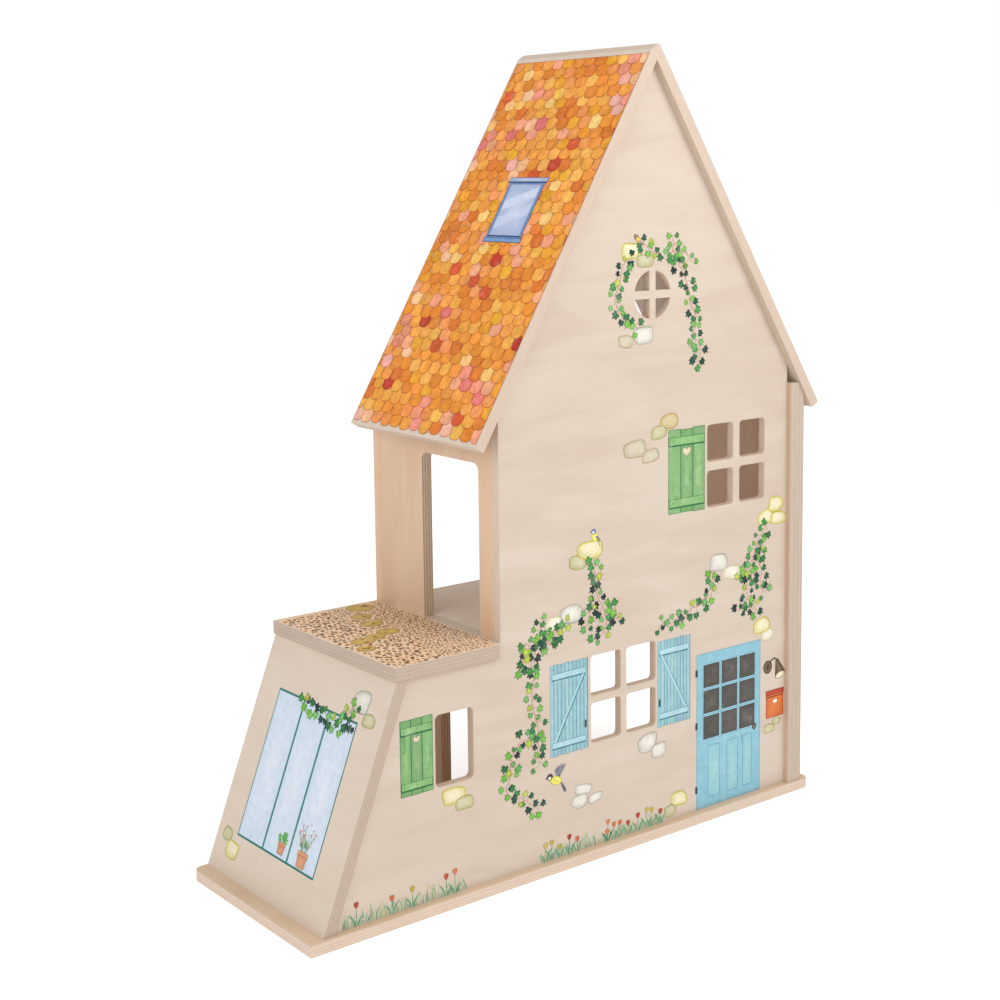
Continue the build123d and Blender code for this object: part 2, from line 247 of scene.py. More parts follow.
def finish_boards():
    sheet("base_board", UPWARD, ACROSS, front=WARM_FACE, back=PALE_FACE, edge=WARM_EDGE)
    # The facade's edges, which line the window openings, take the lighter WARM_EDGE tones: partly painted
    # light, so that the reveals come out lighter where they lie in shade.
    sheet("facade_panel", TOWARDS_US, ACROSS, 8, front=SAND_FACE, edge=WARM_EDGE)
    # Painted shade: the left side wall's outer face takes the more orange PEACH_FACE tones, which stand for
    # the shade and bounce light on it.
    sheet("left_side_wall", (-1, 0, 0), UPWARD, front=PEACH_FACE, edge=JAMB_EDGE, contrast=1)
    sheet("right_side_wall", ACROSS, UPWARD, 19, back=TAN_FACE, edge=DULL_EDGE)
    # The sunroom panel's edge is darker: partly end grain, partly painted shade.
    sheet("sunroom_panel", PANEL_OUT, TOWARDS_US, edge=DARK_EDGE)
    sheet("terrace_board", UPWARD, TOWARDS_US, 12, contrast=0.25)
    sheet("left_roof_board", LEFT_OUT, LEFT_UP, back=DULL_FACE, edge=PALE_EDGE, contrast=0.3)
    sheet("right_roof_board", RIGHT_OUT, RIGHT_UP, back=DULL_FACE, edge=PALE_EDGE, contrast=0.3)
    # Painted light: the first floor's top is made lighter, against the shade that it lies in inside the
    # house.
    sheet("first_floor_board", UPWARD, ACROSS, front=LIGHT_FACE)
    sheet("attic_floor_board", UPWARD, ACROSS, front=PEACH_FACE)


def finish_dowels():
    """Beech with short dark flecks."""
    s = Shader("beech")
    grain = s.noise(s.place, 300, 4, 0.6)
    flecks = s.band(s.noise(s.place, 1500, 2, 0.5), 0.62, 0.72)
    wood = s.mix(grain, (0.6, 0.4, 0.24), (0.5, 0.31, 0.17))
    wood = s.mix(s.math("MULTIPLY", flecks, 0.3), wood, (0.3, 0.17, 0.09))
    beech = s.finish(wood, s.band(grain, 0.2, 0.8, 0.5, 0.65), grain, 0.00005)
    for name in ("terrace_dowels", "floor_dowels", "facade_dowels", "roof_dowels", "sunroom_dowels"):
        paint_node(name, beech)


def finish_screws():
    """Zinc-plated steel with fine scratches."""
    s = Shader("zinc_plate")
    cloud = s.noise(s.place, 400, 3, 0.6)
    scratch = s.noise(s.place, 2500, 2, 0.7, 1.5)
    zinc = s.mix(cloud, (0.56, 0.57, 0.58), (0.46, 0.46, 0.45))
    s.surface.inputs["Metallic"].default_value = 1
    rough = s.band(scratch, 0.3, 0.7, 0.3, 0.48)
    paint_node("base_screws", s.finish(zinc, rough, scratch, 0.00001, 0.5))


finish_dowels()
finish_screws()
finish_boards()


# ---- printed artwork

# Drawings give places, sizes and heights over the wood in millimetres, and colours as 0 to 255 screen
# values. What lies over something else sits a few hundredths higher, so that no two faces coincide.
BURIED = -0.02
TINT = "Tint"


def signed_area(outline):
    pairs = zip(outline, outline[1:] + outline[:1])
    return sum(x0 * y1 - x1 * y0 for (x0, y0), (x1, y1) in pairs) / 2


def inset(outline, width):
    """The outline moved inwards by width; sharp corners move a little less."""
    moved = []
    count = len(outline)
    for index, here in enumerate(outline):
        here = Vector(here)
        before = (here - Vector(outline[index - 1])).normalized()
        after = (Vector(outline[(index + 1) % count]) - here).normalized()
        inward = Vector((-before.y - after.y, before.x + after.x))
        if inward.length < 0.2:
            inward = Vector((-before.y, before.x))
        spread = min(2 / max(inward.length, 0.01), 1.6)
        moved.append(tuple(here + inward.normalized() * width * spread))
    return moved


class Print:
    """Thin printed shapes on one flat face, drawn across and up from its origin."""

    def __init__(self, origin, across, up):
        self.origin = SHIFT + Vector(origin)
        self.across = Vector(across).normalized()
        self.up = Vector(up).normalized()
        self.out = self.across.cross(self.up)
        self.points = []
        self.faces = []
        self.colours = []

    def loop(self, outline, height, tilt=0):
        """Adds a ring of points and returns their numbers; tilt is the rise for each millimetre up."""
        foot = min(point[1] for point in outline)
        first = len(self.points)
        for a, b in outline:
            lift = height + tilt * (b - foot)
            self.points.append((self.origin + self.across * a + self.up * b + self.out * lift) * MM)
        return list(range(first, len(self.points)))

    def face(self, corners, colours):
        self.faces.append(corners)
        self.colours.extend(colours)

    def join(self, first, second, colour):
        """Faces between two rings of points with the same number of points."""
        count = len(first)
        for i in range(count):
            j = (i + 1) % count
            self.face([first[i], first[j], second[j], second[i]], [colour] * 4)

    def shape(self, outline, fill, line=None, width=0.3, height=0.06, middle=None, tilt=0):
        """One flat patch with an optional drawn edge; middle is the colour that it fades to."""
        outline = [tuple(point) for point in outline]
        if signed_area(outline) < 0:
            outline.reverse()
        count = len(outline)
        edge = line or fill
        low = self.loop(outline, BURIED)
        inner = self.loop(outline, height, tilt)
        self.face(low[::-1], [edge] * count)
        self.join(low, inner, edge)
        if line:
            top, inner = inner, self.loop(inset(outline, width), height, tilt)
            self.join(top, inner, line)
        if middle is None:
            self.face(inner, [fill] * count)
            return
        centre = (sum(a for a, _ in outline) / count, sum(b for _, b in outline) / count)
        foot = min(point[1] for point in outline)
        hub = self.loop([centre], height + tilt * (centre[1] - foot))[0]
        for i in range(count):
            self.face([inner[i], inner[(i + 1) % count], hub], [fill, fill, middle])

    def box(self, left, bottom, right, top, *look, **more):
        """An upright rectangle; the rest is what shape takes after its outline."""
        self.shape([(left, bottom), (right, bottom), (right, top), (left, top)], *look, **more)

    def stroke(self, path, width, colour, height=0.05, taper=0.5):
        """A brush line along the path; taper is the share of its width that is left at the ends."""
        path = [Vector(point) for point in path]
        last = len(path) - 1
        sides = []
        for index, here in enumerate(path):
            ahead = path[min(index + 1, last)] - path[max(index - 1, 0)]
            normal = Vector((-ahead.y, ahead.x)).normalized()
            end = min(index, last - index) / max(last / 2, 1)
            half = width / 2 * (taper + (1 - taper) * min(end * 1.5, 1))
            sides.append((here - normal * half, here + normal * half))
        right, left = zip(*sides)
        edges = [self.loop(line, lift) for line, lift in
                 ((right, BURIED), (right, height), (left, height), (left, BURIED))]
        for i in range(last):
            for here, after in zip(edges, edges[1:] + edges[:1]):
                self.face([here[i], here[i + 1], after[i + 1], after[i]], [colour] * 4)
        self.face([edge[0] for edge in edges], [colour] * 4)
        self.face([edge[last] for edge in reversed(edges)], [colour] * 4)

    def piece(self, name, material):
        """Turns what was drawn into one object that rides on the house."""
        mesh = bpy.data.meshes.new(name)
        mesh.from_pydata(self.points, [], self.faces)
        tint = mesh.color_attributes.new(TINT, "FLOAT_COLOR", "CORNER")
        for corner, colour in zip(tint.data, self.colours):
            corner.color = srgb(*colour)
        mesh.materials.append(material)
        made = bpy.data.objects.new(name, mesh)
        bpy.context.scene.collection.objects.link(made)
        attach(made, "root")


def watercolour(name, blotch, depth, fading=0.9):
    """Matt print whose colour comes from the Tint attribute, with washes of that depth over it and pale
    blotches where the paint has run thin."""
    s = Shader(name + "_watercolour")
    tint = s.node("ShaderNodeAttribute", attribute_name=TINT).outputs["Color"]
    wash = s.noise(s.place, 170, 5, 0.65, 0.6)
    grit = s.noise(s.place, 1300, 3, 0.6)
    shade = s.band(wash, 0.28, 0.72, 1 - depth, 1 + depth * 0.45)
    shade = s.math("MULTIPLY", shade, s.band(grit, 0.3, 0.7, 0.955, 1.03))
    grey = s.node("ShaderNodeCombineColor", {"Red": shade, "Green": shade, "Blue": shade}).outputs[0]
    colour = s.mix(1, tint, grey, "MULTIPLY")
    pale = s.band(s.noise(s.place, blotch, 3, 0.55), 0.56, 0.78, 0, depth * fading)
    colour = s.mix(pale, colour, (0.93, 0.86, 0.74))
    rough = s.band(grit, 0.2, 0.8, 0.52, 0.7)
    return s.finish(colour, rough, grit, 0.00002, 0.3)


def jitter(rng, reach):
    """A random number up to reach either way."""
    return rng.uniform(-reach, reach)


def vary(rng, colour, amount):
    """The colour with its brightness and each channel moved a little at random."""
    lift = jitter(rng, amount)
    return tuple(min(255, max(0, part + lift + jitter(rng, amount) * 0.5)) for part in colour)


def times(colour, share):
    return tuple(part * share for part in colour)


def polar(a, b, reach, angle):
    return a + reach * math.cos(angle), b + reach * math.sin(angle)


def turned(a, b, x, y, turn):
    """The point x across and y up from the middle (a, b), once that is turned by an angle."""
    return a + x * math.cos(turn) - y * math.sin(turn), b + x * math.sin(turn) + y * math.cos(turn)


def squarish(value, power):
    """A sine or cosine made rounder than an ellipse's, and squarer the lower the power is."""
    return math.copysign(abs(value) ** power, value)


def oval(a, b, half_width, half_height, steps=20, turn=0, wobble=0, rng=None):
    """An ellipse, or with wobble a hand-drawn one, turned by an angle."""
    points = []
    for step in range(steps):
        angle = 2 * math.pi * step / steps
        grow = 1 + (jitter(rng, wobble) if rng else 0)
        x = half_width * grow * math.cos(angle)
        y = half_height * grow * math.sin(angle)
        points.append(turned(a, b, x, y, turn))
    return points


def clip(outline, left, bottom, right, top):
    """The part of a convex outline inside a rectangle."""
    limits = ((0, left, 1), (0, right, -1), (1, bottom, 1), (1, top, -1))
    for axis, limit, sign in limits:
        kept = []
        for index, here in enumerate(outline):
            before = outline[index - 1]
            here_in = sign * (here[axis] - limit) >= 0
            before_in = sign * (before[axis] - limit) >= 0
            if here_in != before_in:
                share = (limit - before[axis]) / (here[axis] - before[axis])
                kept.append(tuple(before[k] + share * (here[k] - before[k]) for k in range(2)))
            if here_in:
                kept.append(here)
        outline = kept
    return outline


# ---- faces that carry prints

# The drawings of the boards put zero at the facade's lower left corner; this moves them to the frame.
SHIFT = Vector((-94.02, -91.75, 0))
ART_SHIFT = Vector((2.4, 0, -1))

# Each face: where its drawing has its zero, then the directions that across and up run in. Zero is the
# face's lower left corner seen from outside, except that the terrace's is over the facade's.
FACADE = (ART_SHIFT, ACROSS, UPWARD)
LEFT_ROOF = ((-29, 181.5, 386.05), TOWARDS_US, LEFT_UP)
RIGHT_ROOF = ((382.98, -7.5, 386.19), AWAY, RIGHT_UP)
PANEL = ((-180, 190, 10), TOWARDS_US, PANEL_UP)
TERRACE = ((0, 0, 216), ACROSS, AWAY)


# ---- roof tiles and skylight

ROOF_WIDTH = 189
PRINT_TOP = 377.5
TILE_WIDTH = 15
TILE_STEP = 10.7
TILE_LENGTH = 18
TILE_START = 3.2
TILE_COLUMNS = 14
TILE_HEIGHT = 0.24
# How much lower a tile lies for each millimetre up the roof, so that it dips under the next row.
TILE_TILT = -0.0095
SIDE_MARGIN = 1.2

# Above this the roof has more pink tiles.
PINKER_ABOVE = 290

# A palette gives each colour and how often it comes up beside the others.
ORANGES = [
    ((228, 144, 44), 17), ((220, 130, 32), 12), ((232, 158, 60), 16), ((214, 116, 30), 8),
    ((236, 172, 76), 9), ((224, 152, 24), 9), ((228, 142, 72), 9), ((238, 190, 112), 3),
    ((204, 80, 30), 3), ((232, 156, 116), 4), ((184, 56, 26), 0.8),
]
PINKS = [
    ((232, 156, 120), 8), ((228, 140, 112), 5), ((218, 112, 104), 2.5), ((236, 180, 134), 5),
    ((230, 150, 60), 9), ((226, 142, 54), 8), ((226, 166, 150), 3), ((184, 110, 164), 0.6),
]


def pick(rng, palette):
    """One of the palette's colours at random."""
    return rng.choices(*zip(*palette))[0]


def tile_outline(a, b, width, length):
    """Rounded lower end at b, square upper end."""
    half = width / 2
    bulge = width * 0.38
    points = [(a + half, b + length), (a - half, b + length)]
    for step in range(15):
        angle = math.pi + math.pi * step / 14
        points.append((a + half * squarish(math.cos(angle), 0.74), b + bulge + bulge * math.sin(angle)))
    return points


def lay_tiles(tiles, rng):
    """Rows of tiles from the eave up, each row lying on the tops of the row below it."""
    rows = int((PRINT_TOP - TILE_START) / TILE_STEP) + 1
    for row in range(rows):
        offset = 0.5 * TILE_WIDTH * (row % 2) + jitter(rng, 1.5)
        drift = jitter(rng, 0.8)
        for column in range(-1, TILE_COLUMNS):
            a = offset + (column + 0.4) * TILE_WIDTH + jitter(rng, 0.6)
            b = TILE_START + row * TILE_STEP + drift + jitter(rng, 0.8)
            width = TILE_WIDTH * rng.uniform(0.97, 1.05)
            outline = tile_outline(a, b, width, TILE_LENGTH)
            outline = clip(outline, SIDE_MARGIN, 0, ROOF_WIDTH - SIDE_MARGIN, PRINT_TOP)
            pinkness = noise.noise(Vector((a / 30, b / 34, 4.7))) + 0.12 * (b > PINKER_ABOVE)
            colour = vary(rng, pick(rng, PINKS if pinkness > 0.3 else ORANGES), 8)
            line = tuple(part * share for part, share in zip(colour, (0.72, 0.5, 0.38)))
            glow = tuple(min(255, part + rng.uniform(0, 14)) for part in colour)
            if len(outline) > 3 and abs(signed_area(outline)) > 4:
                tiles.shape(outline, colour, line, 0.45, TILE_HEIGHT, glow, TILE_TILT)


def roof_tiles():
    wash = watercolour("roof", 120, 0.24, 0.5)
    for name, face, seed in (("roof_tiles_left", LEFT_ROOF, 11), ("roof_tiles_right", RIGHT_ROOF, 12)):
        tiles = Print(*face)
        lay_tiles(tiles, random.Random(seed))
        tiles.piece(name, wash)


def skylight():
    """A roof window with a cap above, a sill below and a soft shine across the glass."""
    left, right, bottom, top = 75, 125.5, 189.5, 252
    dark_blue = (44, 66, 108)
    panes = Print(*LEFT_ROOF)
    panes.box(left, bottom, right, top, (104, 138, 184), dark_blue, 0.6, 0.32)
    glass, glass_light = (158, 174, 208), (196, 205, 226)
    panes.box(left + 3, bottom + 5, right - 3, top - 5, glass, dark_blue, 0.5, 0.36, glass_light)
    for low, high, tone in ((0.1, 0.34, (184, 197, 224)), (0.48, 0.68, (196, 206, 228))):
        base_a, base_b = left + 5, bottom + 7
        span, rise = right - left - 10, top - bottom - 14
        shine = [
            (base_a, base_b + rise * low), (base_a + span, base_b + rise * (low + 0.3)),
            (base_a + span, base_b + rise * (high + 0.3)), (base_a, base_b + rise * high)]
        panes.shape(shine, tone, height=0.38, middle=(200, 209, 230))
    cap, cap_light, sill = (150, 166, 200), (184, 194, 218), (112, 148, 190)
    panes.box(left - 1.5, top - 3, right + 2.5, top + 1.5, cap, dark_blue, 0.4, 0.42, cap_light)
    panes.stroke([(left - 1, top - 3.4), (right + 2, top - 3.4)], 1.2, dark_blue, 0.43, 1)
    panes.box(left - 2, bottom - 1.5, right + 2, bottom + 3, sill, dark_blue, 0.5, 0.42)
    panes.stroke([(left + 2, bottom + 4.6), (right - 2, bottom + 4.6)], 1.2, dark_blue, 0.41, 1)
    panes.piece("skylight", watercolour("skylight", 60, 0.08))


# ---- shutters

def nail(art, a, b, colour):
    art.shape(oval(a, b, 0.5, 0.5, 8), colour, height=0.11)


def heart_outline(a, b, size):
    points = []
    for step in range(24):
        angle = 2 * math.pi * step / 24
        x = 16 * math.sin(angle) ** 3
        y = 13 * math.cos(angle) - 5 * math.cos(2 * angle) - 2 * math.cos(3 * angle) - math.cos(4 * angle)
        points.append((a + x * size / 32, b + y * size / 32))
    return points


def green_shutter(art, left, bottom, right, top, rng):
    """Three upright boards and two battens; the heart is bare wood."""
    green, deep, pale, shadow = (114, 156, 100), (36, 98, 58), (138, 177, 120), (34, 100, 60)
    width = (right - left) / 3
    for index in range(3):
        a = left + index * width
        art.box(a, bottom + jitter(rng, 0.6), a + width, top + jitter(rng, 0.6),
                vary(rng, green, 12), deep, 0.4, 0.06, vary(rng, pale, 10))
        for _ in range(7):
            start = rng.uniform(bottom + 4, top - 22)
            x = a + rng.uniform(0.2, 0.8) * width
            tone = rng.choice(((86, 148, 88), (150, 190, 110), (102, 158, 94)))
            art.stroke([(x, start), (x + jitter(rng, 0.5), start + rng.uniform(8, 20))],
                       rng.uniform(0.3, 1.1), tone, 0.075)
    tall = (top - bottom) * 0.1
    for low in (bottom + tall * 0.75, top - tall * 1.9):
        art.stroke([(left + 0.6, low - 0.5), (right - 0.6, low - 0.5)], 1.1, shadow, 0.08, 1)
        art.stroke([(left + 0.8, low), (left + 0.8, low + tall)], 0.8, shadow, 0.12, 1)
        art.box(left + 0.8, low, right - 0.8, low + tall, (124, 174, 106), deep, 0.4, 0.1, pale)
        for share in (0.12, 0.5, 0.88):
            nail(art, left + share * (right - left), low + tall / 2, deep)
    middle = (left + right) / 2
    heart = top - tall * 2.75
    size = (right - left) * 0.24
    art.shape(heart_outline(middle - 0.5, heart + 0.5, size), (64, 122, 76), height=0.09)
    bare_wood = heart_outline(middle, heart, size)
    art.shape(bare_wood, (206, 186, 156), (92, 138, 90), 0.3, 0.11, (220, 202, 176))


def blue_shutter(art, left, bottom, right, top, rises, rng):
    """Narrow slats, two battens and a brace that rises to the right or falls to it."""
    blue, deep, pale = (138, 179, 187), (58, 108, 128), (170, 200, 203)
    slats = 10
    width = (right - left) / slats
    for index in range(slats):
        a = left + index * width
        art.box(a, bottom + jitter(rng, 0.5), a + width, top + jitter(rng, 0.5),
                vary(rng, blue, 10), deep, 0.22, 0.06, vary(rng, (150, 189, 195), 10))
    art.stroke([(right + 0.2, bottom), (right + 0.2, top)], 0.7, deep, 0.07, 1)
    low_batten, high_batten = bottom + 7, top - 13.5
    tall = 5.4
    a0, a1 = left + 2, right - 2
    brace = [(a0 + 1.5, low_batten + tall), (a0 + 5, low_batten + tall), (a1 - 1, high_batten),
             (a1 - 4.5, high_batten)]
    if not rises:
        brace = [(left + right - a, b) for a, b in brace]
    art.shape([(a + 0.8, b - 0.5) for a, b in brace], deep, height=0.08)
    art.shape(brace, (160, 199, 208), deep, 0.25, 0.1)
    for low in (low_batten, high_batten):
        art.stroke([(a0, low - 0.5), (a1, low - 0.5)], 0.9, deep, 0.09, 1)
        art.box(a0, low, a1, low + tall, (160, 200, 210), deep, 0.3, 0.12, pale)
        for share in (0.08, 0.36, 0.64, 0.92):
            nail(art, a0 + share * (a1 - a0), low + tall / 2, (70, 120, 150))
    latch = right - 3.4 if rises else left + 1.2
    art.box(latch, bottom + 19, latch + 2.2, bottom + 26, (36, 62, 84), (20, 34, 50), 0.4, 0.14)


def shutters():
    rng = random.Random(5)
    green = Print(*FACADE)
    green_shutter(green, 189.8, 300, 235.6, 377.6, rng)
    green_shutter(green, -105.4, 106.6, -73, 170.2, rng)
    green.piece("green_shutters", watercolour("green", 80, 0.14))
    blue = Print(*FACADE)
    blue_shutter(blue, 50.4, 104, 92.8, 186.2, True, rng)
    blue_shutter(blue, 176.6, 103.6, 217, 184.4, False, rng)
    blue.piece("blue_shutters", watercolour("blue", 80, 0.12))


# ---- door, lamp and letterbox

def door():
    rng = random.Random(21)
    art = Print(*FACADE)
    deep = (54, 108, 136)
    left, right, bottom, top = 225.8, 310.8, 12, 162
    art.box(left, bottom, right, top, (131, 180, 196), (104, 158, 180), 0.8, 0.06, (141, 187, 200))
    for _ in range(26):
        a, b = rng.uniform(left + 4, right - 4), rng.uniform(bottom + 4, top - 22)
        tone = rng.choice(((114, 162, 182), (148, 190, 202), (144, 186, 186)))
        brushed = [(a, b), (a + jitter(rng, 0.8), b + rng.uniform(8, 18))]
        art.stroke(brushed, rng.uniform(0.5, 1.4), tone, 0.07)
    wide, high = 21, 22.2
    panes = [(234.6 + column * 23.8, 78.5 + row * 25) for column in range(3) for row in range(3)]
    for a, b in panes:
        art.box(a - 1, b - 1, a + wide + 1, b + high + 1, (164, 208, 222), deep, 0.3, 0.09)
        smoke = vary(rng, (72, 70, 66), 7)
        art.box(a, b, a + wide, b + high, smoke, (40, 44, 48), 0.5, 0.11, vary(rng, (92, 86, 80), 7))
        for _ in range(6):
            x, y = a + rng.uniform(2, wide - 7), b + rng.uniform(2, high - 7)
            tone = rng.choice(((66, 62, 60), (102, 94, 84), (86, 82, 80)))
            curl = [(x, y), (x + 2.4, y + 2.8), (x + 4.6, y + 4.6)]
            art.stroke(curl, rng.uniform(0.6, 1.4), tone, 0.13, 0.3)
    for a0, a1 in ((240.6, 256.4), (265.6, 280.6), (287.2, 299.4)):
        art.box(a0, 21, a1, 71.5, (138, 186, 196), (72, 126, 152), 0.5, 0.09, (150, 194, 194))
        art.stroke([(a0 + 2, 24), (a0 + 2.4, 68)], 0.35, (104, 166, 188), 0.1)
    art.shape(oval(302.8, 77, 2.7, 3.3, 16), (70, 58, 44), (34, 28, 22), 0.5, 0.2, (130, 108, 70))
    for b in (141, 90, 28):
        art.box(left - 1.4, b, left + 1.4, b + 6.6, (52, 50, 52), (24, 24, 26), 0.4, 0.13)
    art.piece("door", watercolour("door", 60, 0.1))


def lamp():
    art = Print(*FACADE)
    dark, bronze = (44, 36, 28), (96, 80, 60)
    art.shape(oval(321, 132, 6, 6.6, 22), bronze, dark, 0.7, 0.1, (128, 110, 84))
    art.shape(oval(321, 132, 2.4, 2.8, 14), (70, 58, 44), dark, 0.4, 0.13)
    art.stroke([(322, 133), (326, 138), (331, 139.5), (333.5, 136)], 1.5, dark, 0.15)
    shade = [(332, 138), (335, 138.4), (345.6, 124), (341, 119), (331.4, 121.5)]
    art.shape(shade, (84, 70, 52), dark, 0.5, 0.18, (120, 102, 76))
    mouth = oval(338, 121.4, 6.8, 3.2, 18, 0.25)
    art.shape(mouth, (214, 208, 176), (90, 78, 56), 0.5, 0.21, (234, 228, 200))
    art.stroke([(333.4, 135), (337.4, 125)], 0.8, (158, 140, 110), 0.22)
    art.piece("wall_lamp", watercolour("lamp", 60, 0.1))


def letterbox():
    art = Print(*FACADE)
    red, orange = (160, 48, 30), (200, 104, 48)
    art.box(319, 80.4, 343.4, 107.6, orange, red, 0.9, 0.08, (208, 124, 62))
    art.box(318.6, 103, 343.8, 108, (182, 70, 40), (120, 34, 24), 0.6, 0.13)
    art.stroke([(320, 101.2), (342.6, 101.2)], 0.9, (110, 30, 24), 0.12, 1)
    art.shape(oval(331.6, 96.2, 3.2, 2.2, 16), (246, 236, 220), (150, 60, 40), 0.35, 0.14)
    art.stroke([(322, 83.6), (341, 83.6)], 0.5, (204, 80, 44), 0.11)
    art.piece("letterbox", watercolour("letterbox", 60, 0.1))


# ---- stones

YELLOW, CREAM, GREY, OLIVE = (186, 172, 66), (192, 182, 146), (166, 162, 150), (158, 154, 98)
BEIGE, STRAW = (166, 152, 120), (172, 148, 84)

# Middle across, middle up, width, height and edge colour.
FACADE_STONES = [
    (146, 541, 24, 14, YELLOW), (162, 532, 22, 11, OLIVE), (160, 466, 25, 15, GREY),
    (139, 462, 19, 11, BEIGE), (191, 386, 22, 15, STRAW), (178, 377, 20, 12, OLIVE),
    (150, 365, 27, 16, BEIGE), (168, 357, 20, 13, BEIGE), (330, 292, 21, 15, YELLOW),
    (316, 281, 22, 14, YELLOW), (334, 278, 21, 13, YELLOW), (97, 282, 28, 17, YELLOW),
    (83, 273, 19, 14, OLIVE), (75, 228, 27, 16, GREY), (56, 223, 20, 12, CREAM),
    (254, 246, 25, 16, GREY), (272, 234, 25, 13, CREAM), (312, 175, 24, 15, YELLOW),
    (320, 165, 18, 12, CREAM), (164, 92, 24, 18, GREY), (178, 82, 20, 14, GREY),
    (87, 67, 20, 10, GREY), (83, 57, 20, 12, GREY), (101, 56, 17, 9, GREY),
    (203, 29, 21, 14, YELLOW), (192, 20, 16, 11, OLIVE), (333, 76, 11, 7, OLIVE),
    (324, 70, 15, 9, OLIVE), (-53, 96, 23, 15, YELLOW), (-42, 87, 18, 12, OLIVE),
]
PANEL_STONES = [
    (155, 182, 24, 19, GREY), (171, 170, 17, 12, OLIVE), (17, 32, 15, 12, OLIVE),
    (30, 22, 20, 16, YELLOW),
]
STONE_WHITE = (234, 229, 220)


def stone(art, a, b, width, height, edge, rng, level):
    """A cushion-shaped stone that fades from its own colour at the rim to near white inside."""
    turn = rng.uniform(-0.12, 0.16)
    lumps = [(count, rng.uniform(0, 6.3), size) for count, size in ((2, 0.05), (3, 0.045), (5, 0.02))]
    outline = []
    power = rng.uniform(0.5, 0.8)
    corners = 26
    for step in range(corners):
        angle = 2 * math.pi * step / corners
        grow = 1 + sum(size * math.sin(count * angle + start) for count, start, size in lumps)
        x = squarish(math.cos(angle), power) * width / 2 * grow
        y = squarish(math.sin(angle), power) * height / 2 * grow
        outline.append(turned(a, b, x, y, turn))
    whiteness = 0.5 if edge in (OLIVE, BEIGE, STRAW) else 0.8
    inside = [tuple(own * (1 - share) + light * share for own, light in zip(edge, STONE_WHITE))
              for share in (whiteness * 0.6, whiteness * 0.88, whiteness)]
    art.shape(outline, edge, height=level)
    rim = inset(outline, min(width, height) * 0.07)
    art.shape(rim, inside[0], height=level + 0.01, middle=inside[1])
    drift_a, drift_b = rng.uniform(-0.05, 0.07) * width, rng.uniform(0, 0.09) * height
    core = [(a + (x - a) * 0.66 + drift_a, b + (y - b) * 0.62 + drift_b) for x, y in outline]
    art.shape(core, inside[1], height=level + 0.02, middle=inside[2])
    shadow = times(edge, 0.84)
    for _ in range(10):
        first = outline[rng.randrange(corners)]
        reach = rng.uniform(0.12, 0.3)
        last = (first[0] + (a - first[0]) * reach, first[1] + (b - first[1]) * reach)
        art.stroke([first, last], 0.6, shadow, level + 0.03, 0.3)
    start = rng.randrange(corners)
    art.stroke([outline[(start + step) % corners] for step in range(8)], 0.35, shadow, level + 0.035)


def stones():
    rng = random.Random(8)
    wash = watercolour("stone", 90, 0.1)
    for name, face, rows in (("facade_stones", FACADE, FACADE_STONES),
                             ("sunroom_stones", PANEL, PANEL_STONES)):
        art = Print(*face)
        for index, row in enumerate(rows):
            stone(art, *row, rng, 0.03 + 0.04 * (index % 3))
        art.piece(name, wash)


# ---- ivy

# Degrees from the tip and distance from the middle, down one side of a leaf of size 1.
LEAF_HALF = [
    (0, 1.06), (13, 0.76), (27, 0.58), (43, 0.9), (60, 0.74),
    (80, 0.57), (103, 0.76), (127, 0.6), (150, 0.44), (170, 0.26),
]
LEAF_GREENS = [
    ((50, 118, 50), 8), ((92, 152, 50), 9), ((30, 90, 48), 8), ((16, 60, 46), 7), ((12, 36, 36), 5),
    ((88, 146, 76), 5), ((150, 164, 56), 4),
]
TWIG = (158, 92, 78)
LEAF_STEP = 3.6

# As the drawings of the boards give them: the round window's middle and radius, and the left, bottom,
# right and top of the square openings.
ROUND_WINDOW = (173.5, 500.5, 21.5)
FACADE_OPENINGS = [
    (99.5, 105.5, 176.5, 185), (241.5, 299, 317, 376.5), (-68, 105.5, -29.5, 167),
]

# Each vine is a list of points across and up the facade.
VINES = [
    [(101, 277), (102, 257), (104, 241), (112, 226), (116, 214), (111, 204), (103, 199)],
    [(104, 238), (95, 223), (91, 210)],
    [(114, 224), (126, 225), (129, 212)],
    [(75, 220), (56, 216), (42, 212), (35, 202), (30, 192), (33, 176), (30, 162), (33, 150),
     (37, 136), (37, 111), (38, 97)],
    [(39, 208), (41, 231)],
    [(43, 213), (52, 204), (59, 212)],
    [(33, 204), (24, 212), (21, 190), (24, 182)],
    [(33, 126), (18, 127), (7, 113), (7, 98), (1, 88), (7, 78), (17, 77), (28, 68), (38, 60)],
    [(243, 241), (248, 226), (245, 218), (235, 215), (231, 209), (217, 208), (211, 201), (202, 201),
     (192, 198), (177, 200)],
    [(320, 274), (310, 264), (305, 256), (300, 245), (293, 234), (291, 222), (293, 206), (281, 194)],
    [(306, 258), (314, 254), (307, 241), (312, 228), (309, 214), (318, 206)],
    [(294, 236), (282, 232), (279, 224)],
    [(292, 206), (302, 196), (304, 186)],
    [(178, 537), (169, 539), (162, 546), (151, 549)],
    [(149, 535), (139, 533), (134, 524), (132, 511), (126, 501), (129, 491), (137, 482), (147, 478),
     (155, 471)],
    [(193, 556), (197, 546), (194, 537), (185, 530)],
    [(196, 540), (203, 526), (211, 514), (216, 502), (216, 492), (224, 481), (224, 471), (219, 463),
     (228, 454), (230, 445), (224, 433)],
    [(197, 540), (211, 538), (218, 528)],
]
GARLAND = [
    [(68, 168), (77, 163), (89, 160), (106, 160), (119, 156), (130, 156), (141, 163), (151, 165)],
    [(136, 160), (142, 171), (149, 181)],
]


